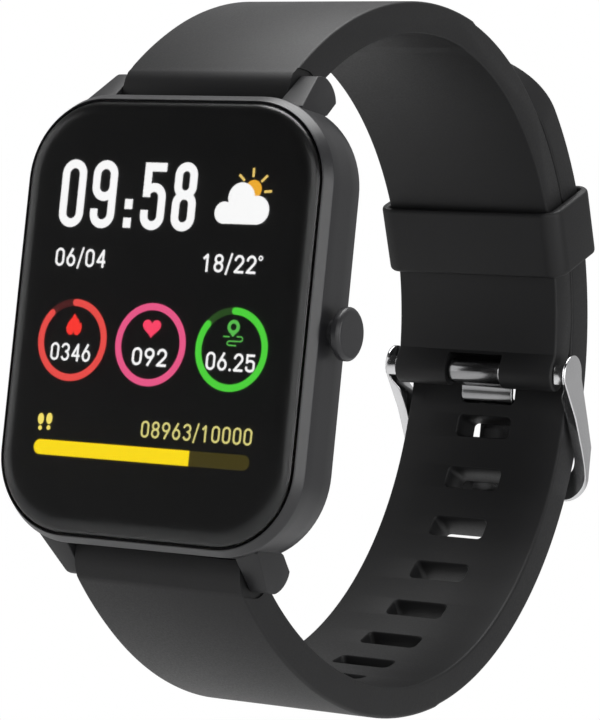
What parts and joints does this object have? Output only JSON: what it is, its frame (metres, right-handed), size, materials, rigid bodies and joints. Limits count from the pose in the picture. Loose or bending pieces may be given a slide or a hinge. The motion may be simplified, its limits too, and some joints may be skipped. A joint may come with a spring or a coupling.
{
  "type": "smartwatch",
  "caption": "Square touchscreen smartwatch with a side push button on a closed silicone strap with a tang buckle, keeper loop and rear pulse sensor.",
  "frame": {"origin": "middle of the rear face of the sensor window, the hindmost flat of the case", "axes": "+X out of the button side, +Y from the case back through the wrist loop towards the buckle, +Z towards 12 o'clock"},
  "size_m": [0.0386, 0.0802, 0.0777],
  "materials": {
    "case_plastic": "satin dark plastic",
    "glass": "polished curved-edge glass",
    "display": "glossy display module",
    "seal_rubber": "matte seal rubber",
    "cover_plastic": "fine matte",
    "steel": "bright screws and pins",
    "board": "solder mask",
    "gold": "gold plated",
    "magnet": "nickel plated",
    "foil": "foil pouch",
    "flex": "polyimide film",
    "silicone": "smooth matte silicone",
    "buckle_steel": "polished steel",
    "white_plastic": "moulded plastic",
    "tungsten": "sintered metal",
    "emitter": "clear package"
  },
  "bodies": {
    "watch": {"case_frame": "case_plastic", "cover_glass": "glass", "glass_gasket": "seal_rubber", "display_panel": "display", "back_cover": "cover_plastic", "back_gasket": "seal_rubber", "back_screws": "steel", "sensor_window": "glass", "sensor_board": "board", "sensor_leds": "emitter", "photodiode": "display", "charge_contacts": "gold", "dock_magnets": "magnet", "carrier": "cover_plastic", "main_board": "board", "shield_can": "steel", "board_screws": "steel", "battery": "foil", "battery_pad": "seal_rubber", "battery_leads": "silicone", "display_flex": "flex", "sensor_flex": "flex", "antenna": "gold", "motor_can": "steel", "switch_body": "steel", "switch_bracket": "steel", "strap_upper": "silicone", "strap_lower": "silicone", "lug_bars": "steel", "lug_bar_tips": "steel", "buckle_bar": "steel"},
    "button": {"button_cap": "case_plastic", "button_seal": "seal_rubber", "button_clip": "steel"},
    "plunger": {"switch_plunger": "white_plastic"},
    "keeper": {"keeper": "silicone"},
    "buckle": {"buckle_frame": "buckle_steel"},
    "tongue": {"tongue": "buckle_steel"},
    "rotor": {"motor_rotor": "tungsten"}
  },
  "joints": [
    {"name": "button_press", "type": "slide", "parent": "watch", "child": "button", "axis": [-1, 0, 0], "range_m": [0, 0.0005], "stiffness_N_per_m": 1500, "springref_m": -0.0003},
    {"name": "plunger_slide", "type": "slide", "parent": "watch", "child": "plunger", "axis": [-1, 0, 0], "range_m": [0, 0.0005]},
    {"name": "keeper_slide", "type": "hinge", "parent": "watch", "child": "keeper", "pos_m": [0, 0.02826, 0.002], "axis": [1, 0, 0], "range_deg": [-6, 10]},
    {"name": "buckle_swing", "type": "hinge", "parent": "watch", "child": "buckle", "pos_m": [0, 0.062, 0.002], "axis": [1, 0, 0], "range_deg": [0, 6]},
    {"name": "tongue_lift", "type": "hinge", "parent": "buckle", "child": "tongue", "pos_m": [0, 0.062, 0.002], "axis": [1, 0, 0], "range_deg": [0, 4]},
    {"name": "rotor_spin", "type": "hinge", "parent": "watch", "child": "rotor", "pos_m": [0.0113, -0.0049, -0.0085], "axis": [0, 1, 0], "continuous": true}
  ],
  "couplings": [
    {"joint": "plunger_slide", "follows": "button_press", "ratio": 1}
  ]
}
